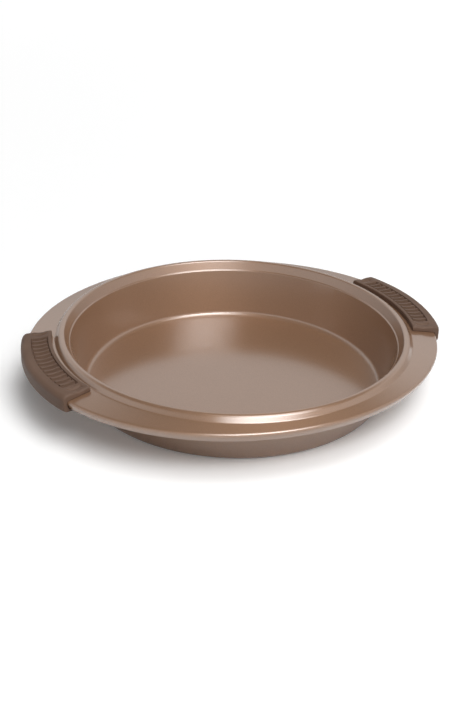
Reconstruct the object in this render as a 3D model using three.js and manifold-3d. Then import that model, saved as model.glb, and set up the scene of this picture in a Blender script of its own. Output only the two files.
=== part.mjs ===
// Round cake pan: a pressed sheet body with an oval flange, and two soft grips moulded onto its ears.
// Millimetres, Z up. The base stands on Z = 0 and the two grips lie on the X axis.

import * as THREE from 'three';
import { mergeVertices } from 'three/addons/utils/BufferGeometryUtils.js';
import Module from 'manifold-3d';

// Pan body: sizes of the upper face of the sheet, worked outwards from the opening
const SHEET = 1.0;
const OPENING_DIAMETER = 228.6;
const WALL_HEIGHT = 35.6;
const WALL_RUN = 8.8;
const FLOOR_CORNER_RADIUS = 4.2;
const FLARE_RUN = 0.8;
const FLARE_RISE = 0.6;
const FLARE_RADIUS = 0.8;
const LIP_RUN = 3.3;
const LIP_RISE = 6.0;
const CREST_WIDTH = 3.2;
const RIM_RUN = 3.0;
const RIM_FALL = 3.9;
const CREASE_RADIUS = 1.5;
const EAR_WIDTH = 21.6;
const SIDE_WIDTH = 8.3;
const FLANGE_FALL = 2.7;
const SKIRT_DEPTH = 5.4;
const SKIRT_TUCK = 2.0;

// Inside radii of the bends whose round side is on top
const LIP_BEND = 0.2;
const CREST_INNER_BEND = 0.3;
const CREST_OUTER_BEND = 2.2;
const EDGE_BEND = 0.8;

// Grips: rubber sleeves round the ears of the flange
const GRIP_CLEARANCE = 0.3;
const GRIP_CREASE_GAP = 2.4;
const GRIP_INNER_LENGTH = 87;
const GRIP_OUTER_LENGTH = 97;
const GRIP_INNER_TOP = 3.2;
const GRIP_OUTER_TOP = 4.3;
const GRIP_WALL = 2.3;
const GRIP_BOTTOM = 1.5;
const GRIP_HEEL = 2.0;
const GRIP_FLAP = 2.0;
const GRIP_FLAP_SETBACK = 4.0;
const GRIP_INNER_ROUND = 0.8;
const GRIP_TOP_ROUND = 3.5;
const GRIP_BOTTOM_ROUND = 2.5;
const GRIP_HEEL_ROUND = 1.0;
const GRIP_CORNER_LENGTH = 5.0;
const GRIP_CORNER_INSET = 1.0;
const GRIP_END_ROUND = 1.4;

// Dished top of a grip, with a groove before each end and plain ribs in a sunk panel between them
const DISH_DEPTH = 0.6;
const DISH_RUN = 5.0;
const GROOVE_SETBACK = 5.0;
const GROOVE_WIDTH = 4.6;
const GROOVE_DEPTH = 0.8;
const GROOVE_DRAFT = 2.0;
const PANEL_INNER_BORDER = 2.4;
const PANEL_OUTER_BORDER = 7.0;
const PANEL_END_BORDER = 10.0;
const PANEL_DEPTH = 2.0;
const PANEL_DRAFT = 0.6;
const RIB_PITCH = 5.4;
const RIB_WIDTH = 2.6;
const RIB_HEIGHT = 2.0;
const RIB_DRAFT = 0.4;
const RIB_SIDE_MARGIN = 0.4;
const RIB_END_MARGIN = 3.0;

// Rubber keys that join a grip's top to its flap through slots in the ear
const KEY_COUNT = 2;
const KEY_SPACING = 40;
const KEY_LENGTH = 14;
const KEY_WIDTH = 4;
const KEY_INSET = 10;

// Mesh density
const PAN_SEGMENTS = 72;
const BEND_STEPS = 3;
const GRIP_STEPS = 10;
const END_STEPS = 3;
const KEY_END_STEPS = 6;
const WELD = 1e-4;

const wasm = await Module();
wasm.setup();

// Outlines in the plane of radius and height

const corner = (r, z, radius = 0) => ({ point: new THREE.Vector2(r, z), radius });
const direction = (from, to) => to.clone().sub(from).normalize();
const leftOf = (v) => new THREE.Vector2(-v.y, v.x);

// Points and left-hand normals round one corner of an outline.
function bend({ point, radius }, before, after) {
  const turn = Math.atan2(before.cross(after), before.dot(after));
  const side = Math.sign(turn) * radius;
  const reach = radius * Math.tan(Math.abs(turn) / 2);
  const centre = point.clone().addScaledVector(before, -reach).addScaledVector(leftOf(before), side);
  return Array.from({ length: BEND_STEPS + 1 }, (_, step) => {
    const normal = leftOf(before).rotateAround(new THREE.Vector2(), (turn * step) / BEND_STEPS);
    return { point: centre.clone().addScaledVector(normal, -side), normal };
  });
}

// Points and normals along straight runs whose inner corners are rounded.
function roundedOutline(corners) {
  const runs = corners.slice(1).map(({ point }, i) => direction(corners[i].point, point));
  const last = corners.length - 1;
  return corners.flatMap((each, i) => {
    if (i > 0 && i < last) return bend(each, runs[i - 1], runs[i]);
    return [{ point: each.point, normal: leftOf(runs[Math.min(i, last - 1)]) }];
  });
}

const offsetPoints = (outline, distance) =>
  outline.map(({ point, normal }) => point.clone().addScaledVector(normal, distance));

// Section of the pan

const opening = OPENING_DIAMETER / 2;
const flare = opening + FLARE_RUN;
const crestInner = flare + LIP_RUN;
const crestOuter = crestInner + CREST_WIDTH;
const crease = crestOuter + RIM_RUN;
const flareHeight = WALL_HEIGHT + FLARE_RISE;
const panHeight = flareHeight + LIP_RISE;
const creaseHeight = panHeight - RIM_FALL;
const flangeHeight = creaseHeight - FLANGE_FALL;
const skirtBottom = flangeHeight - SKIRT_DEPTH;

// Radius of the flange's edge: an oval, longest along X.
function flangeRadius(angle) {
  const along = Math.cos(angle) / (crease + EAR_WIDTH);
  const across = Math.sin(angle) / (crease + SIDE_WIDTH);
  return 1 / Math.hypot(along, across);
}

// Height of the flange's upper face, which falls evenly from the crease to the edge.
function flangeTop(radius, angle) {
  const share = (radius - crease) / (flangeRadius(angle) - crease);
  return THREE.MathUtils.lerp(creaseHeight, flangeHeight, share);
}

// Flange and turned-down skirt, from the crease outwards.
function flangeCorners(angle) {
  const edge = flangeRadius(angle);
  return [
    corner(crease, creaseHeight, CREASE_RADIUS),
    corner(edge, flangeHeight, EDGE_BEND + SHEET),
    corner(edge - SKIRT_TUCK, skirtBottom),
  ];
}

// Floor, wall, flared lip and rounded crest, from the axis outwards.
const basinCorners = [
  corner(0, SHEET),
  corner(opening - WALL_RUN, SHEET, FLOOR_CORNER_RADIUS),
  corner(opening, WALL_HEIGHT, LIP_BEND + SHEET),
  corner(flare, flareHeight, FLARE_RADIUS),
  corner(crestInner, panHeight, CREST_INNER_BEND + SHEET),
  corner(crestOuter, panHeight, CREST_OUTER_BEND + SHEET),
];

// Closed section of the sheet: out along its upper face and back along its lower face.
function panSection(angle) {
  const outline = roundedOutline([...basinCorners, ...flangeCorners(angle)]);
  return [...offsetPoints(outline, 0), ...offsetPoints(outline, -SHEET).reverse()];
}

// Solids

const polar = (radius, angle, z) =>
  new THREE.Vector3(radius * Math.cos(angle), radius * Math.sin(angle), z);

// Triangles between rings of points that follow each other anticlockwise about Z.
function skinTriangles(ringCount, ringSize, spans) {
  const triangles = [];
  for (let ring = 0; ring < spans; ring++) {
    const here = ring * ringSize;
    const next = ((ring + 1) % ringCount) * ringSize;
    for (let i = 0; i < ringSize; i++) {
      const j = (i + 1) % ringSize;
      triangles.push(here + i, here + j, next + j);
      triangles.push(here + i, next + j, next + i);
    }
  }
  return triangles;
}

// Triangles that close the first and last rings of a sleeve whose section is given.
function capTriangles(section, lastRing) {
  const faces = THREE.ShapeUtils.triangulateShape(section, []);
  const first = faces.flat();
  const last = faces.flatMap(([a, b, c]) => [lastRing + c, lastRing + b, lastRing + a]);
  return [...first, ...last];
}

function toSolid(geometry) {
  geometry.deleteAttribute('normal');
  geometry.deleteAttribute('uv');
  const welded = mergeVertices(geometry, WELD);
  const triangles = [];
  for (let i = 0; i < welded.index.count; i += 3) {
    const [a, b, c] = welded.index.array.slice(i, i + 3);
    const collapsed = a === b || b === c || c === a;
    if (!collapsed) triangles.push(a, b, c);
  }
  return new wasm.Manifold(new wasm.Mesh({
    numProp: 3,
    vertProperties: new Float32Array(welded.attributes.position.array),
    triVerts: new Uint32Array(triangles),
  }));
}

function solidOf(points, triangles) {
  const geometry = new THREE.BufferGeometry().setFromPoints(points);
  geometry.setIndex(triangles);
  return toSolid(geometry);
}

function toMesh(name, solid, material) {
  const { vertProperties, triVerts } = solid.getMesh();
  const geometry = new THREE.BufferGeometry();
  geometry.setAttribute('position', new THREE.BufferAttribute(vertProperties, 3));
  geometry.setIndex(new THREE.BufferAttribute(triVerts, 1));
  geometry.computeVertexNormals();
  const mesh = new THREE.Mesh(geometry, material);
  mesh.name = name;
  return mesh;
}

// Keys and their slots

const keyRadius = (angle) => flangeRadius(angle) - KEY_INSET;
const keyAngles = Array.from({ length: KEY_COUNT }, (_, i) =>
  ((i - (KEY_COUNT - 1) / 2) * KEY_SPACING) / keyRadius(0));

// Upright bar with round ends that stands in the ear and lies along its arc.
function keyBar(angle, growth, bottom, top) {
  const radius = KEY_WIDTH / 2 + growth;
  const half = (KEY_LENGTH - KEY_WIDTH) / 2;
  const shape = new THREE.Shape();
  shape.absarc(0, half, radius, 0, Math.PI);
  shape.absarc(0, -half, radius, Math.PI, 2 * Math.PI);
  const bar = new THREE.ExtrudeGeometry(shape, {
    depth: top - bottom,
    bevelEnabled: false,
    curveSegments: KEY_END_STEPS,
  });
  bar.rotateZ(angle);
  bar.translate(...polar(keyRadius(angle), angle, bottom));
  return toSolid(bar);
}

// Pan body

function panBody() {
  const step = (2 * Math.PI) / PAN_SEGMENTS;
  const rings = Array.from({ length: PAN_SEGMENTS }, (_, i) =>
    panSection(i * step).map(({ x, y }) => polar(x, i * step, y)));
  const sheet = solidOf(rings.flat(), skinTriangles(PAN_SEGMENTS, rings[0].length, PAN_SEGMENTS));
  const bothEars = keyAngles.flatMap((angle) => [angle, angle + Math.PI]);
  const slots = bothEars.map((angle) => keyBar(angle, GRIP_CLEARANCE, skirtBottom, panHeight));
  return slots.reduce((body, slot) => body.subtract(slot), sheet);
}

// Grip plan

const gripInner = crease + GRIP_CREASE_GAP;
const gripOuter = (angle) => flangeRadius(angle) + GRIP_CLEARANCE + GRIP_WALL;
const halfAngle = (chord, radius) => Math.asin(chord / 2 / radius);

// The ends lean: the half angle changes evenly from the inner edge to the outer one.
function gripHalfAngle(radius) {
  const outer = gripOuter(0);
  const share = (radius - gripInner) / (outer - gripInner);
  const atInner = halfAngle(GRIP_INNER_LENGTH, gripInner);
  return THREE.MathUtils.lerp(atInner, halfAngle(GRIP_OUTER_LENGTH, outer), share);
}

const gripMiddle = (gripInner + gripOuter(0)) / 2;
const gripHalfLength = gripHalfAngle(gripMiddle) * gripMiddle;
const panelHalfLength = gripHalfLength - PANEL_END_BORDER;

// Places along the grip where its form changes, with even steps along the panel's floor.
function gripStations() {
  const rounding = Array.from({ length: END_STEPS + 1 }, (_, i) =>
    GRIP_CORNER_LENGTH * (1 - Math.sin((Math.PI / 2) * (i / END_STEPS))));
  const groove = [-1, 0, 1].map((side) => GROOVE_SETBACK + (side * GROOVE_WIDTH) / 2);
  const fromEnd = [...rounding, GRIP_END_ROUND, ...groove, PANEL_END_BORDER];
  const end = fromEnd.map((distance) => gripHalfLength - distance);
  const floor = Array.from({ length: GRIP_STEPS + 1 }, (_, i) =>
    (panelHalfLength - PANEL_DRAFT) * ((2 * i) / GRIP_STEPS - 1));
  const places = [...end, ...end.map((place) => -place), ...floor].sort((a, b) => a - b);
  return places.filter((place, i) => i === 0 || place - places[i - 1] > WELD);
}

// How far a face is drawn in near an end, as a quarter of an ellipse.
function endDrop(along, length, drop) {
  const into = Math.abs(along) - (gripHalfLength - length);
  const share = THREE.MathUtils.clamp(into / length, 0, 1);
  return drop * (1 - Math.sqrt(1 - share * share));
}

// Grip top

const overEar = (radius, angle) => flangeTop(radius, angle) + GRIP_CLEARANCE;
const underEar = (radius, angle) => flangeTop(radius, angle) - SHEET - GRIP_CLEARANCE;

// Ends of the plain top, which runs straight from the inner edge to the outer one.
function topCorners(angle, along) {
  const outer = gripOuter(angle) - endDrop(along, GRIP_CORNER_LENGTH, GRIP_CORNER_INSET);
  const drop = endDrop(along, GRIP_END_ROUND, GRIP_END_ROUND);
  return [
    corner(gripInner, overEar(gripInner, angle) + GRIP_INNER_TOP - drop, GRIP_INNER_ROUND),
    corner(outer, overEar(outer, angle) + GRIP_OUTER_TOP - drop, GRIP_TOP_ROUND),
  ];
}

// Radii where the relief changes: the panel's edge, floor and middle.
function reliefRadii(angle) {
  const inner = gripInner + PANEL_INNER_BORDER;
  const outer = gripOuter(angle) - PANEL_OUTER_BORDER;
  return [inner, inner + PANEL_DRAFT, (inner + outer) / 2, outer - PANEL_DRAFT, outer];
}

// Depth below the plain top: the dish along the whole grip, the grooves and the panel.
function reliefDepth(radius, angle, along) {
  const ease = (inside, run) => THREE.MathUtils.smoothstep(inside, 0, run);
  const radii = reliefRadii(angle);
  const across = Math.min(radius - radii[0], radii.at(-1) - radius);
  const fromEnd = gripHalfLength - Math.abs(along);
  const inGroove = GROOVE_WIDTH / 2 - Math.abs(fromEnd - GROOVE_SETBACK);
  const groove = GROOVE_DEPTH * ease(Math.min(across, inGroove), GROOVE_DRAFT);
  const panel = PANEL_DEPTH * ease(Math.min(across, fromEnd - PANEL_END_BORDER), PANEL_DRAFT);
  return DISH_DEPTH * ease(across, DISH_RUN) + groove + panel;
}

function topHeight(radius, angle, along) {
  const [inside, outside] = topCorners(angle, along).map(({ point }) => point);
  const plain = THREE.MathUtils.mapLinear(radius, inside.x, outside.x, inside.y, outside.y);
  return plain - reliefDepth(radius, angle, along);
}

// Grip section

const gripFlapEnd = gripInner + GRIP_FLAP_SETBACK;

// Outside of the sleeve: up the inner edge, out over the top, down the wall and in under the flap.
function gripSkin(angle, along) {
  const top = topCorners(angle, along);
  const outer = top[1].point.x;
  const bottom = skirtBottom - GRIP_CLEARANCE - GRIP_BOTTOM;
  const heel = flangeRadius(angle) - SKIRT_TUCK - SHEET - GRIP_HEEL;
  const outline = roundedOutline([
    corner(gripInner, overEar(gripInner, angle)),
    ...top,
    corner(outer, bottom, GRIP_BOTTOM_ROUND),
    corner(heel, bottom, GRIP_HEEL_ROUND),
    corner(gripFlapEnd, underEar(gripFlapEnd, angle) - GRIP_FLAP),
  ]);
  const points = offsetPoints(outline, 0);
  const relief = reliefRadii(angle).map((radius) =>
    new THREE.Vector2(radius, topHeight(radius, angle, along)));
  points.splice(BEND_STEPS + 2, 0, ...relief);
  return points;
}

// Hollow of the sleeve: the flange's own section, grown by the clearance on every side.
function gripHollow(angle) {
  const edge = roundedOutline(flangeCorners(angle)).slice(1);
  const above = offsetPoints(edge, GRIP_CLEARANCE);
  const below = offsetPoints(edge, -SHEET - GRIP_CLEARANCE);
  above.at(-1).y -= GRIP_CLEARANCE;
  below.at(-1).y -= GRIP_CLEARANCE;
  const flapEnd = new THREE.Vector2(gripFlapEnd, underEar(gripFlapEnd, angle));
  return [flapEnd, ...below, ...above.reverse()];
}

// Grip

function gripSleeve() {
  const sections = gripStations().map((along) => {
    const angle = (along / gripHalfLength) * gripHalfAngle(gripOuter(0));
    return { along, points: [...gripSkin(angle, along), ...gripHollow(angle)] };
  });
  const rings = sections.map(({ along, points }) =>
    points.map(({ x, y }) => polar(x, (along / gripHalfLength) * gripHalfAngle(x), y)));
  const ringSize = rings[0].length;
  const skin = skinTriangles(rings.length, ringSize, rings.length - 1);
  const caps = capTriangles(sections[0].points, (rings.length - 1) * ringSize);
  return solidOf(rings.flat(), [...skin, ...caps]);
}

// Height halfway between the ear and the top of the grip, where ribs and keys are rooted.
const rootHeight = (radius, angle, along) =>
  (overEar(radius, angle) + topHeight(radius, angle, along)) / 2;

// Rib that stands on the panel's dished floor.
function ribBar(along) {
  const angle = along / gripMiddle;
  const [, floorInner, middle, floorOuter] = reliefRadii(angle);
  const inner = floorInner + RIB_SIDE_MARGIN;
  const outer = floorOuter - RIB_SIDE_MARGIN;
  const root = (radius) => new THREE.Vector2(radius, rootHeight(radius, angle, along));
  const crest = (radius) => new THREE.Vector2(radius, topHeight(radius, angle, along) + RIB_HEIGHT);
  const side = new THREE.Shape([
    root(inner),
    root(outer),
    crest(outer - RIB_DRAFT),
    crest(middle),
    crest(inner + RIB_DRAFT),
  ]);
  const bar = new THREE.ExtrudeGeometry(side, { depth: RIB_WIDTH, bevelEnabled: false });
  bar.translate(0, 0, -RIB_WIDTH / 2);
  bar.rotateX(Math.PI / 2);
  bar.rotateZ(angle);
  return toSolid(bar);
}

function ribs() {
  const eachSide = Math.floor((panelHalfLength - RIB_END_MARGIN) / RIB_PITCH);
  return Array.from({ length: 2 * eachSide + 1 }, (_, i) =>
    ribBar((i - eachSide) * RIB_PITCH));
}

function keys() {
  return keyAngles.map((angle) => {
    const radius = keyRadius(angle);
    const bottom = underEar(radius, angle) - GRIP_FLAP / 2;
    return keyBar(angle, 0, bottom, rootHeight(radius, angle, angle * gripMiddle));
  });
}

const gripSolid = () => [...keys(), ...ribs()].reduce((grip, piece) => grip.add(piece), gripSleeve());

// Assembly

const coatedSteel = new THREE.MeshStandardMaterial({ color: 0x8f6d55, roughness: 0.35, metalness: 0.1 });
const softRubber = new THREE.MeshStandardMaterial({ color: 0x644e40, roughness: 0.6, metalness: 0 });

const rightGrip = toMesh('right_grip', gripSolid(), softRubber);
const leftGrip = toMesh('left_grip', gripSolid(), softRubber);
leftGrip.rotation.z = Math.PI;

const cakePan = new THREE.Group();
cakePan.add(toMesh('pan_body', panBody(), coatedSteel), rightGrip, leftGrip);

export default cakePan;
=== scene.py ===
import math

import bmesh
import bpy
from mathutils import Matrix, Vector


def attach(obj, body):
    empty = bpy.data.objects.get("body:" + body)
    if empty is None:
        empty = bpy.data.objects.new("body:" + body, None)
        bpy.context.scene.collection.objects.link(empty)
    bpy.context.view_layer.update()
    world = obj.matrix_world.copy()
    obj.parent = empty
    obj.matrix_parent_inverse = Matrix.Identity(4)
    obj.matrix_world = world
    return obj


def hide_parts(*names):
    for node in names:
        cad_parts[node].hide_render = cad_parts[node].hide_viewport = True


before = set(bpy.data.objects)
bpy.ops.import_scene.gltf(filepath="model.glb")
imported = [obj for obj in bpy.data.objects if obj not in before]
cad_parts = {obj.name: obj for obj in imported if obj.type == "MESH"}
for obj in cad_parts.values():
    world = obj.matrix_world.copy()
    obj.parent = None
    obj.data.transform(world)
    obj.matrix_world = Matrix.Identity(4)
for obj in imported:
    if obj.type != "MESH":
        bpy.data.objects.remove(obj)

# A round cake pan of coated sheet steel with a soft ribbed grip on each ear.
# Lengths of the object are in millimetres, and MM turns them into Blender's metres.
# The origin is the middle of the base.
MM = 0.001
ORIGIN = (0.0, 0.0, 0.0)

# Pan body: sizes of the upper face of the sheet
SHEET = 1.0
FLOOR_DIAMETER = 211.0
FLOOR_CORNER_RADIUS = 4.2
OPENING_DIAMETER = 228.6
WALL_HEIGHT = 35.6
FLARE_WIDTH = 0.8
FLARE_RISE = 0.6
FLARE_RADIUS = 0.8
CREST_INNER_DIAMETER = 236.8
CREST_OUTER_DIAMETER = 243.2
PAN_HEIGHT = 42.2
CREASE_DIAMETER = 249.2
CREASE_HEIGHT = 38.3
CREASE_RADIUS = 1.5
FLANGE_LENGTH = 292.4
FLANGE_WIDTH = 265.8
FLANGE_HEIGHT = 35.6
SKIRT_BOTTOM = 30.2
SKIRT_TUCK = 2.0

# Inside radii of the bends whose round side is on top
LIP_BEND = 0.2
CREST_INNER_BEND = 0.3
CREST_OUTER_BEND = 2.2
EDGE_BEND = 0.8

# Grips
GRIP_CLEARANCE = 0.3
GRIP_CREASE_GAP = 2.4
GRIP_INNER_LENGTH = 87.0
GRIP_OUTER_LENGTH = 97.0
GRIP_INNER_TOP = 3.2
GRIP_OUTER_TOP = 4.3
GRIP_WALL = 2.3
GRIP_BOTTOM = 1.5
GRIP_HEEL = 2.0
GRIP_FLAP = 2.0
GRIP_FLAP_SETBACK = 4.0
GRIP_INNER_ROUND = 0.8
GRIP_TOP_ROUND = 3.5
GRIP_BOTTOM_ROUND = 2.5
GRIP_HEEL_ROUND = 1.0
GRIP_CORNER_LENGTH = 5.0
GRIP_CORNER_INSET = 1.0
GRIP_END_ROUND = 1.4

# Dished top of a grip, with a groove before each end and plain ribs in a sunk panel between them
PANEL_INNER_BORDER = 2.4
PANEL_OUTER_BORDER = 7.0
PANEL_END_BORDER = 10.0
PANEL_DEPTH = 2.0
PANEL_DRAFT = 0.6
DISH_DEPTH = 0.6
DISH_RUN = 5.0
GROOVE_SETBACK = 5.0
GROOVE_WIDTH = 4.6
GROOVE_DEPTH = 0.8
GROOVE_DRAFT = 2.0
RIB_PITCH = 5.4
RIB_WIDTH = 2.6
RIB_HEIGHT = 2.0
RIB_DRAFT = 0.4
RIB_SIDE_MARGIN = 0.4
RIB_END_MARGIN = 3.0

# Mesh density; a bend's points are those of its steps and one on the straight run at each end of it
PAN_SEGMENTS = 288
BEND_STEPS = 8
BEND_SUPPORT = 0.1
BEND_POINTS = BEND_STEPS + 3
EDGE_STEPS = 4
GRIP_STEPS = 400
GRIP_ACROSS_STEPS = 48
WELD = 0.001
SMOOTH_ANGLE = math.radians(35)

# Camera: the picture is 460 by 706 pixels, and the lens is for its long side
PICTURE_LONG_SIDE = 706
FOCAL_PIXELS = 1185
SENSOR = 36.0
CAMERA_DISTANCE = 0.85
CAMERA_AZIMUTH = -24.7
CAMERA_ELEVATION = 28.8
CAMERA_ROLL = 1.54
ORIGIN_RIGHT_PIXELS = 3.6
ORIGIN_DOWN_PIXELS = 26.9

# Studio: azimuths are from the camera to its right, in degrees, and distances in metres
KEY_AZIMUTH = 26
KEY_ELEVATION = 50
KEY_SIZE = (3.0, 1.4)
KEY_POWER = 110.0
TOP_AZIMUTH = 50
TOP_ELEVATION = 72
TOP_SIZE = (2.4, 2.2)
TOP_POWER = 77.0
LAMP_DISTANCE = 3.0
FLOOR_SIZE = 12.0
FLOOR_SEEN = (1.0, 1.0, 1.0, 1)
FLOOR_BOUNCE = (0.55, 0.55, 0.55, 1)
FLOOR_GLOW = 0.07
FAR_GLOW = 1.0
GLOW_GROWS_FROM = 0.15
GLOW_GROWS_TO = 3.2

# A lamp's own coordinates go from 0 to 1 over it, and its light fades from the core to the rim
LAMP_MIDDLE = (0.5, 0.5, 0.0)
LAMP_CORE = 0.2
LAMP_RIM = 0.5

# Surroundings by the height of the direction, and their strength as light and where they are seen
HORIZON = (0.0, (0.4, 0.4, 0.4, 1))
BACKDROP_FOOT = (0.42, (1.0, 1.0, 1.0, 1))
BACKDROP_TOP = (0.55, (1.0, 1.0, 1.0, 1))
CEILING = (0.75, (0.15, 0.15, 0.15, 1))
AMBIENT = 0.33
BACKDROP_SEEN = 1.0

# Colours, in linear light, and the part of a noise over which the dark one goes into the light one
BRONZE_LIGHT = (0.306, 0.172, 0.100, 1)
BRONZE_DARK = (0.252, 0.142, 0.082, 1)
RUBBER_LIGHT = (0.140, 0.083, 0.056, 1)
RUBBER_DARK = (0.115, 0.068, 0.046, 1)
MOTTLE_FROM = 0.3
MOTTLE_TO = 0.7

# Noises, each a scale and a detail
FLAKES = (2600, 2)
PEEL = (700, 2)
BRONZE_CLOUDS = (22, 4)
RUBBER_GRAIN = (1800, 3)
RUBBER_CLOUDS = (60, 3)

# Roughnesses, each from and to, and bumps, each a strength and a depth in metres
BRONZE_ROUGHNESS = (0.48, 0.54)
BRONZE_BUMP = (0.05, 0.0001)
RUBBER_ROUGHNESS = (0.5, 0.65)
RUBBER_BUMP = (0.15, 0.0002)

# Grain of the coating: how strong it is, and where it starts and is full, in metres from the middle
GRAIN = 0.6
GRAIN_STARTS = 0.03
GRAIN_FULL = 0.1

# What is the same all over a material, by the names of the shader's sockets
BRONZE_SETTINGS = {
    "Metallic": 0.4,
    "Specular IOR Level": 0.1,
    "Anisotropic Rotation": 0.25,
    "Coat Weight": 1.0,
    "Coat IOR": 1.95,
    "Coat Roughness": 0.17,
}
RUBBER_SETTINGS = {"Specular IOR Level": 0.3}


# Outlines in the plane of radius and height

def corner(r, z, radius=0.0):
    return Vector((r, z)), radius


def left_of(v):
    return Vector((-v.y, v.x))


def bend(point, radius, before, after):
    """Points and left-hand normals round one corner, and one on the straight run at each end of it."""
    turn = math.atan2(before.x * after.y - before.y * after.x, before.dot(after))
    side = math.copysign(radius, turn)
    centre = point - before * radius * math.tan(abs(turn) / 2) + left_of(before) * side
    turns = [Matrix.Rotation(turn * i / BEND_STEPS, 2) for i in range(BEND_STEPS + 1)]
    normals = [each @ left_of(before) for each in turns]
    arc = [(centre - normal * side, normal) for normal in normals]
    (start, first), (end, last) = arc[0], arc[-1]
    return [(start - before * BEND_SUPPORT, first)] + arc + [(end + after * BEND_SUPPORT, last)]


def rounded_outline(corners):
    """Points and normals along straight runs whose inner corners are rounded."""
    points = [point for point, _ in corners]
    runs = [(b - a).normalized() for a, b in zip(points, points[1:])]
    outline = [(points[0], left_of(runs[0]))]
    for (point, radius), before, after in zip(corners[1:], runs, runs[1:]):
        outline += bend(point, radius, before, after)
    return outline + [(points[-1], left_of(runs[-1]))]


def offset_points(outline, offset):
    return [point + normal * offset for point, normal in outline]


def polar(r, angle, z):
    return Vector((r * math.cos(angle), r * math.sin(angle), z))


def smooth(share):
    """Goes from 0 to 1 with level ends."""
    t = min(max(share, 0.0), 1.0)
    return t * t * (3 - 2 * t)


# Section of the pan

def flange_radius(angle):
    """Radius of the flange's edge: an oval, longest along X."""
    along = math.cos(angle) / (FLANGE_LENGTH / 2)
    across = math.sin(angle) / (FLANGE_WIDTH / 2)
    return 1 / math.hypot(along, across)


def flange_top(radius, angle):
    """Height of the flange's upper face, which falls evenly from the crease to the edge."""
    crease = CREASE_DIAMETER / 2
    share = (radius - crease) / (flange_radius(angle) - crease)
    return CREASE_HEIGHT + (FLANGE_HEIGHT - CREASE_HEIGHT) * share


def flange_corners(angle):
    edge = flange_radius(angle)
    return [
        corner(CREASE_DIAMETER / 2, CREASE_HEIGHT, CREASE_RADIUS),
        corner(edge, FLANGE_HEIGHT, EDGE_BEND + SHEET),
        corner(edge - SKIRT_TUCK, SKIRT_BOTTOM + SHEET / 2),
    ]


def basin_corners():
    opening = OPENING_DIAMETER / 2
    return [
        corner(0, SHEET),
        corner(FLOOR_DIAMETER / 2, SHEET, FLOOR_CORNER_RADIUS),
        corner(opening, WALL_HEIGHT, LIP_BEND + SHEET),
        corner(opening + FLARE_WIDTH, WALL_HEIGHT + FLARE_RISE, FLARE_RADIUS),
        corner(CREST_INNER_DIAMETER / 2, PAN_HEIGHT, CREST_INNER_BEND + SHEET),
        corner(CREST_OUTER_DIAMETER / 2, PAN_HEIGHT, CREST_OUTER_BEND + SHEET),
    ]


def cut_edge(outline):
    """Half round of the sheet's cut edge, from the upper face to the lower one."""
    point, normal = outline[-1]
    centre = point - normal * SHEET / 2
    turns = [math.pi * (i + 1) / (EDGE_STEPS + 1) for i in range(EDGE_STEPS)]
    return [centre + Matrix.Rotation(-turn, 2) @ normal * SHEET / 2 for turn in turns]


def pan_section(angle):
    """Closed section of the sheet: out along its upper face and back along its lower face."""
    outline = rounded_outline(basin_corners() + flange_corners(angle))
    lower = offset_points(outline, -SHEET)
    return offset_points(outline, 0) + cut_edge(outline) + lower[::-1]


# Meshes

def ring_faces(here, there, size):
    """Quads between two rings of points."""
    return [(here + i, here + (i + 1) % size, there + (i + 1) % size, there + i) for i in range(size)]


def loft_faces(rings, closed):
    """Quads from ring to ring, and then from the last to the first, or else a cap on each end."""
    size = len(rings[0])
    starts = [i * size for i in range(len(rings))]
    course = starts + starts[:1] if closed else starts
    pairs = zip(course, course[1:])
    quads = [quad for here, there in pairs for quad in ring_faces(here, there, size)]
    caps = [tuple(reversed(range(size))), tuple(range(starts[-1], starts[-1] + size))]
    return quads if closed else caps + quads


def loft(name, rings, closed):
    """Smooth object over rings of points."""
    mesh = bpy.data.meshes.new(name)
    mesh.from_pydata([point * MM for ring in rings for point in ring], [], loft_faces(rings, closed))
    weld(mesh)
    mesh.shade_smooth()
    mesh.set_sharp_from_angle(angle=SMOOTH_ANGLE)
    return place(name, mesh)


def weld(mesh):
    """Joins points that fall together, as on the axis, and drops what collapses there."""
    cage = bmesh.new()
    cage.from_mesh(mesh)
    bmesh.ops.remove_doubles(cage, verts=cage.verts, dist=WELD * MM)
    loose = [edge for edge in cage.edges if not edge.link_faces]
    bmesh.ops.delete(cage, geom=loose, context="EDGES")
    cage.to_mesh(mesh)
    cage.free()


def place(name, data):
    """New object in the scene from a mesh, a camera or a lamp."""
    item = bpy.data.objects.new(name, data)
    bpy.context.scene.collection.objects.link(item)
    return item


def make_pan():
    angles = [2 * math.pi * i / PAN_SEGMENTS for i in range(PAN_SEGMENTS)]
    rings = [[polar(p.x, angle, p.y) for p in pan_section(angle)] for angle in angles]
    return loft("pan_shell", rings, closed=True)


# Grip plan

GRIP_INNER = CREASE_DIAMETER / 2 + GRIP_CREASE_GAP
GRIP_FLAP_END = GRIP_INNER + GRIP_FLAP_SETBACK


def grip_outer(angle):
    return flange_radius(angle) + GRIP_CLEARANCE + GRIP_WALL


GRIP_MIDDLE = (GRIP_INNER + grip_outer(0)) / 2


def grip_half_angle(radius):
    """The ends lean: the half angle changes evenly from the inner edge to the outer one."""
    outer = grip_outer(0)
    at_inner = math.asin(GRIP_INNER_LENGTH / 2 / GRIP_INNER)
    at_outer = math.asin(GRIP_OUTER_LENGTH / 2 / outer)
    return at_inner + (at_outer - at_inner) * (radius - GRIP_INNER) / (outer - GRIP_INNER)


GRIP_HALF_LENGTH = grip_half_angle(GRIP_MIDDLE) * GRIP_MIDDLE
PANEL_HALF_LENGTH = GRIP_HALF_LENGTH - PANEL_END_BORDER
RIBS_EACH_SIDE = math.floor((PANEL_HALF_LENGTH - RIB_END_MARGIN) / RIB_PITCH)


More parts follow.
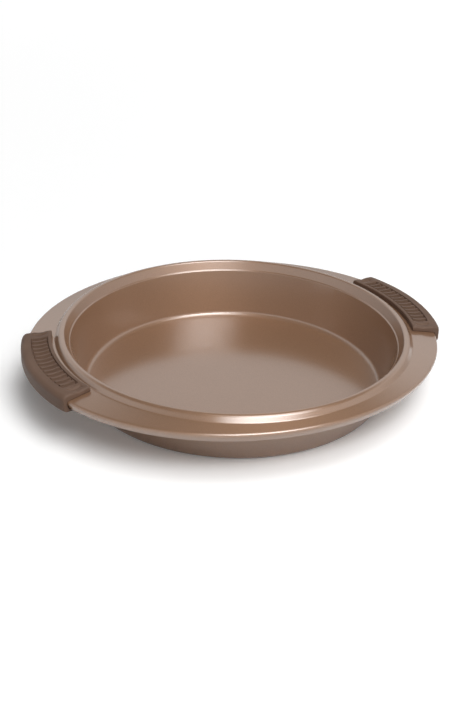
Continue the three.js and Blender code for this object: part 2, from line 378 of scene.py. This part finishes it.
def end_drop(along, length, drop):
    """How far a face is drawn in near an end, as a quarter of an ellipse."""
    into = abs(along) - (GRIP_HALF_LENGTH - length)
    share = min(max(into / length, 0.0), 1.0)
    return drop * (1 - math.sqrt(1 - share * share))


# Grip section

def over_ear(radius, angle):
    return flange_top(radius, angle) + GRIP_CLEARANCE


def under_ear(radius, angle):
    return flange_top(radius, angle) - SHEET - GRIP_CLEARANCE


def top_relief(radius, along, outer):
    """Height over the plain top: the dish, the grooves and the panel, and up again on a rib."""
    inner_side = radius - GRIP_INNER - PANEL_INNER_BORDER
    outer_side = outer - PANEL_OUTER_BORDER - radius
    across = min(inner_side, outer_side)
    dish = smooth(across / DISH_RUN)
    beside_groove = GROOVE_WIDTH / 2 - abs(abs(along) - (GRIP_HALF_LENGTH - GROOVE_SETBACK))
    groove = smooth(min(across, beside_groove) / GROOVE_DRAFT)
    panel = smooth(min(across, PANEL_HALF_LENGTH - abs(along)) / PANEL_DRAFT)
    nearest = max(-RIBS_EACH_SIDE, min(RIBS_EACH_SIDE, round(along / RIB_PITCH)))
    beside_rib = RIB_WIDTH / 2 - abs(along - nearest * RIB_PITCH)
    rib = smooth(min(beside_rib, across - RIB_SIDE_MARGIN) / RIB_DRAFT)
    return RIB_HEIGHT * rib - PANEL_DEPTH * panel - GROOVE_DEPTH * groove - DISH_DEPTH * dish


def skin_corners(angle, along, outer):
    """Corners of the sleeve's outside: inner edge, top, wall, underside and flap."""
    drop = end_drop(along, GRIP_END_ROUND, GRIP_END_ROUND)
    inner_top = over_ear(GRIP_INNER, angle) + GRIP_INNER_TOP - drop
    outer_top = over_ear(outer, angle) + GRIP_OUTER_TOP - drop
    bottom = SKIRT_BOTTOM - GRIP_CLEARANCE - GRIP_BOTTOM
    heel = flange_radius(angle) - SKIRT_TUCK - SHEET - GRIP_HEEL
    return [
        corner(GRIP_INNER, over_ear(GRIP_INNER, angle)),
        corner(GRIP_INNER, inner_top, GRIP_INNER_ROUND),
        corner(outer, outer_top, GRIP_TOP_ROUND),
        corner(outer, bottom, GRIP_BOTTOM_ROUND),
        corner(heel, bottom, GRIP_HEEL_ROUND),
        corner(GRIP_FLAP_END, under_ear(GRIP_FLAP_END, angle) - GRIP_FLAP),
    ]


def grip_skin(angle, along):
    """Outside of the sleeve, with the relief on the run between the first bend and the second."""
    outer = grip_outer(angle) - end_drop(along, GRIP_CORNER_LENGTH, GRIP_CORNER_INSET)
    points = offset_points(rounded_outline(skin_corners(angle, along, outer)), 0)
    top_start = 1 + BEND_POINTS
    rise, rest = points[:top_start], points[top_start:]
    top = [rise[-1].lerp(rest[0], i / GRIP_ACROSS_STEPS) for i in range(1, GRIP_ACROSS_STEPS)]
    for point in top:
        point.y += top_relief(point.x, along, outer)
    return rise + top + rest


def grip_hollow(angle):
    """Hollow of the sleeve: the flange's own section, grown by the clearance on every side."""
    edge = rounded_outline(flange_corners(angle))[1:]
    above = offset_points(edge, GRIP_CLEARANCE)
    below = offset_points(edge, -SHEET - GRIP_CLEARANCE)
    for end in (above[-1], below[-1]):
        end.y = SKIRT_BOTTOM - GRIP_CLEARANCE
    flap_end = Vector((GRIP_FLAP_END, under_ear(GRIP_FLAP_END, angle)))
    return [flap_end] + below + above[::-1]


def grip_ring(along):
    share = along / GRIP_HALF_LENGTH
    angle = share * grip_half_angle(grip_outer(0))
    section = grip_skin(angle, along) + grip_hollow(angle)
    return [polar(p.x, share * grip_half_angle(p.x), p.y) for p in section]


def make_grips():
    places = [GRIP_HALF_LENGTH * (2 * i / GRIP_STEPS - 1) for i in range(GRIP_STEPS + 1)]
    right = loft("right_sleeve", [grip_ring(along) for along in places], closed=False)
    turned = right.data.copy()
    turned.transform(Matrix.Rotation(math.pi, 4, "Z"))
    return right, place("left_sleeve", turned)


# Materials

def new_material(name, settings):
    """A material with its tree, its shader with these settings, and the object's own coordinates."""
    material = bpy.data.materials.new(name)
    material.use_nodes = True
    tree = material.node_tree
    shader = tree.nodes["Principled BSDF"]
    for socket, value in settings.items():
        shader.inputs[socket].default_value = value
    coordinates = tree.nodes.new("ShaderNodeTexCoord").outputs["Object"]
    return material, tree, shader, coordinates


def noise(tree, coordinates, scale, detail):
    node = tree.nodes.new("ShaderNodeTexNoise")
    node.inputs["Scale"].default_value = scale
    node.inputs["Detail"].default_value = detail
    tree.links.new(coordinates, node.inputs["Vector"])
    return node.outputs["Fac"]


def ramp(tree, factor, *stops):
    """Colour that goes through the stops, each a position and a colour, as the factor grows."""
    node = tree.nodes.new("ShaderNodeValToRGB")
    elements = node.color_ramp.elements
    while len(elements) < len(stops):
        elements.new(1.0)
    for element, (position, color) in zip(elements, stops):
        element.position = position
        element.color = color
    tree.links.new(factor, node.inputs["Fac"])
    return node.outputs["Color"]


def mottle(tree, factor, low, high):
    """Colour that goes between two tones over the middle of a noise."""
    return ramp(tree, factor, (MOTTLE_FROM, low), (MOTTLE_TO, high))


def spread(tree, factor, low, high, start=0.0, end=1.0):
    """Number that goes from low to high as the factor goes from start to end."""
    node = tree.nodes.new("ShaderNodeMapRange")
    node.inputs["From Min"].default_value = start
    node.inputs["From Max"].default_value = end
    node.inputs["To Min"].default_value = low
    node.inputs["To Max"].default_value = high
    tree.links.new(factor, node.inputs["Value"])
    return node.outputs["Result"]


def combine(tree, operation, first, second):
    """Number that a Math node makes of two others."""
    node = tree.nodes.new("ShaderNodeMath")
    node.operation = operation
    tree.links.new(first, node.inputs[0])
    tree.links.new(second, node.inputs[1])
    return node.outputs["Value"]


def distance(tree, spot, centre):
    """How far a spot is from a centre."""
    node = tree.nodes.new("ShaderNodeVectorMath")
    node.operation = "DISTANCE"
    node.inputs[1].default_value = centre
    tree.links.new(spot, node.inputs[0])
    return node.outputs["Value"]


def bump(tree, height, strength, depth):
    node = tree.nodes.new("ShaderNodeBump")
    node.inputs["Strength"].default_value = strength
    node.inputs["Distance"].default_value = depth
    tree.links.new(height, node.inputs["Height"])
    return node.outputs["Normal"]


def add_grain(tree, shader, coordinates):
    """Gives a shader a grain that runs round the Z axis and fades out towards the middle."""
    course = tree.nodes.new("ShaderNodeTangent")
    course.direction_type = "RADIAL"
    course.axis = "Z"
    tree.links.new(course.outputs["Tangent"], shader.inputs["Tangent"])
    away = distance(tree, coordinates, ORIGIN)
    strength = spread(tree, away, 0.0, GRAIN, GRAIN_STARTS, GRAIN_FULL)
    tree.links.new(strength, shader.inputs["Anisotropic"])


def coated_metal():
    """Satin metallic coating with fine flakes, a faint orange peel and a grain that runs round the pan."""
    material, tree, shader, coordinates = new_material("bronze_coating", BRONZE_SETTINGS)
    flakes = noise(tree, coordinates, *FLAKES)
    clouds = noise(tree, coordinates, *BRONZE_CLOUDS)
    peel = noise(tree, coordinates, *PEEL)
    tree.links.new(mottle(tree, flakes, BRONZE_DARK, BRONZE_LIGHT), shader.inputs["Base Color"])
    tree.links.new(spread(tree, clouds, *BRONZE_ROUGHNESS), shader.inputs["Roughness"])
    tree.links.new(bump(tree, peel, *BRONZE_BUMP), shader.inputs["Normal"])
    add_grain(tree, shader, coordinates)
    return material


def grip_rubber():
    """Matte moulded rubber with a fine grain."""
    material, tree, shader, coordinates = new_material("grip_rubber", RUBBER_SETTINGS)
    grain = noise(tree, coordinates, *RUBBER_GRAIN)
    clouds = noise(tree, coordinates, *RUBBER_CLOUDS)
    tree.links.new(mottle(tree, clouds, RUBBER_DARK, RUBBER_LIGHT), shader.inputs["Base Color"])
    tree.links.new(spread(tree, grain, *RUBBER_ROUGHNESS), shader.inputs["Roughness"])
    tree.links.new(bump(tree, grain, *RUBBER_BUMP), shader.inputs["Normal"])
    return material


# Studio

def towards(azimuth, elevation):
    """Direction at an azimuth from the camera to its right, and an elevation."""
    turn = math.radians(CAMERA_AZIMUTH + azimuth)
    rise = math.radians(elevation)
    level = math.cos(rise)
    return Vector((math.sin(turn) * level, -math.cos(turn) * level, math.sin(rise)))


def make_camera():
    forward = -towards(0, CAMERA_ELEVATION)
    up_axis = Vector((0, 0, 1))
    right = forward.cross(up_axis).normalized()
    up = right.cross(forward)
    aim = forward - right * ORIGIN_RIGHT_PIXELS / FOCAL_PIXELS + up * ORIGIN_DOWN_PIXELS / FOCAL_PIXELS
    level = aim.to_track_quat("-Z", "Y").to_matrix()
    data = bpy.data.cameras.new("camera")
    data.sensor_width = SENSOR
    data.lens = SENSOR * FOCAL_PIXELS / PICTURE_LONG_SIDE
    camera = place("camera", data)
    rolled = level @ Matrix.Rotation(math.radians(CAMERA_ROLL), 3, "Z")
    camera.matrix_world = Matrix.Translation(-forward * CAMERA_DISTANCE) @ rolled.to_4x4()
    bpy.context.scene.camera = camera


def soften(lamp_data):
    """Makes a lamp fade from its core to nothing at its rim."""
    lamp_data.use_nodes = True
    tree = lamp_data.node_tree
    spot = tree.nodes.new("ShaderNodeNewGeometry").outputs["Parametric"]
    fade = spread(tree, distance(tree, spot, LAMP_MIDDLE), 1.0, 0.0, LAMP_CORE, LAMP_RIM)
    tree.links.new(fade, tree.nodes["Emission"].inputs["Strength"])


def softbox(name, azimuth, elevation, size, power):
    data = bpy.data.lights.new(name, "AREA")
    data.shape = "ELLIPSE"
    data.size, data.size_y = size
    data.energy = power
    soften(data)
    lamp = place(name, data)
    direction = towards(azimuth, elevation)
    lamp.location = direction * LAMP_DISTANCE
    lamp.rotation_mode = "QUATERNION"
    lamp.rotation_quaternion = direction.to_track_quat("Z", "Y")


def seen_directly(tree):
    """1 for what the camera sees, also through a reflection or glass, and 0 for other light."""
    path = tree.nodes.new("ShaderNodeLightPath")
    seen = path.outputs["Is Camera Ray"]
    for ray in ("Is Glossy Ray", "Is Transmission Ray"):
        seen = combine(tree, "MAXIMUM", seen, path.outputs[ray])
    return seen


def floor_glow(tree, seen):
    """Faint glow where the floor is seen, stronger far away, where the light of the lamps fades."""
    spot = tree.nodes.new("ShaderNodeTexCoord").outputs["Object"]
    away = distance(tree, spot, ORIGIN)
    growth = spread(tree, away, FLOOR_GLOW, FAR_GLOW, GLOW_GROWS_FROM, GLOW_GROWS_TO)
    glow = tree.nodes.new("ShaderNodeEmission")
    tree.links.new(combine(tree, "MULTIPLY", seen, growth), glow.inputs["Strength"])
    return glow.outputs["Emission"]


def floor_material():
    """White floor that keeps its shadow and throws back less light than it shows."""
    material = bpy.data.materials.new("studio_floor")
    material.use_nodes = True
    tree = material.node_tree
    tree.nodes.clear()
    seen = seen_directly(tree)
    surface = tree.nodes.new("ShaderNodeBsdfDiffuse")
    tree.links.new(ramp(tree, seen, (0.0, FLOOR_BOUNCE), (1.0, FLOOR_SEEN)), surface.inputs["Color"])
    both = tree.nodes.new("ShaderNodeAddShader")
    tree.links.new(surface.outputs["BSDF"], both.inputs[0])
    tree.links.new(floor_glow(tree, seen), both.inputs[1])
    output = tree.nodes.new("ShaderNodeOutputMaterial")
    tree.links.new(both.outputs["Shader"], output.inputs["Surface"])
    return material


def make_floor():
    half = FLOOR_SIZE / 2
    corners = [(-half, -half, 0), (half, -half, 0), (half, half, 0), (-half, half, 0)]
    mesh = bpy.data.meshes.new("floor")
    mesh.from_pydata(corners, [], [(0, 1, 2, 3)])
    mesh.materials.append(floor_material())
    place("floor", mesh)


def make_world():
    """Pale backdrop under a dark ceiling; it is dimmer as light than where it is seen."""
    world = bpy.data.worlds.new("studio")
    world.use_nodes = True
    tree = world.node_tree
    background = tree.nodes["Background"]
    direction = tree.nodes.new("ShaderNodeTexCoord").outputs["Generated"]
    parts = tree.nodes.new("ShaderNodeSeparateXYZ")
    tree.links.new(direction, parts.inputs["Vector"])
    sky = ramp(tree, parts.outputs["Z"], HORIZON, BACKDROP_FOOT, BACKDROP_TOP, CEILING)
    tree.links.new(sky, background.inputs["Color"])
    tree.links.new(spread(tree, seen_directly(tree), AMBIENT, BACKDROP_SEEN), background.inputs["Strength"])
    bpy.context.scene.world = world


# The dressed part

def dress(piece, node, material):
    """Puts a finished piece in a CAD node's place."""
    piece.data.materials.append(material)
    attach(piece, "root")
    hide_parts(node)


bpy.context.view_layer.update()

metal = coated_metal()
rubber = grip_rubber()
right_sleeve, left_sleeve = make_grips()
dress(make_pan(), "pan_body", metal)
dress(right_sleeve, "right_grip", rubber)
dress(left_sleeve, "left_grip", rubber)

make_camera()
make_floor()
make_world()
softbox("key_softbox", KEY_AZIMUTH, KEY_ELEVATION, KEY_SIZE, KEY_POWER)
softbox("top_softbox", TOP_AZIMUTH, TOP_ELEVATION, TOP_SIZE, TOP_POWER)
bpy.context.scene.view_settings.view_transform = "Standard"
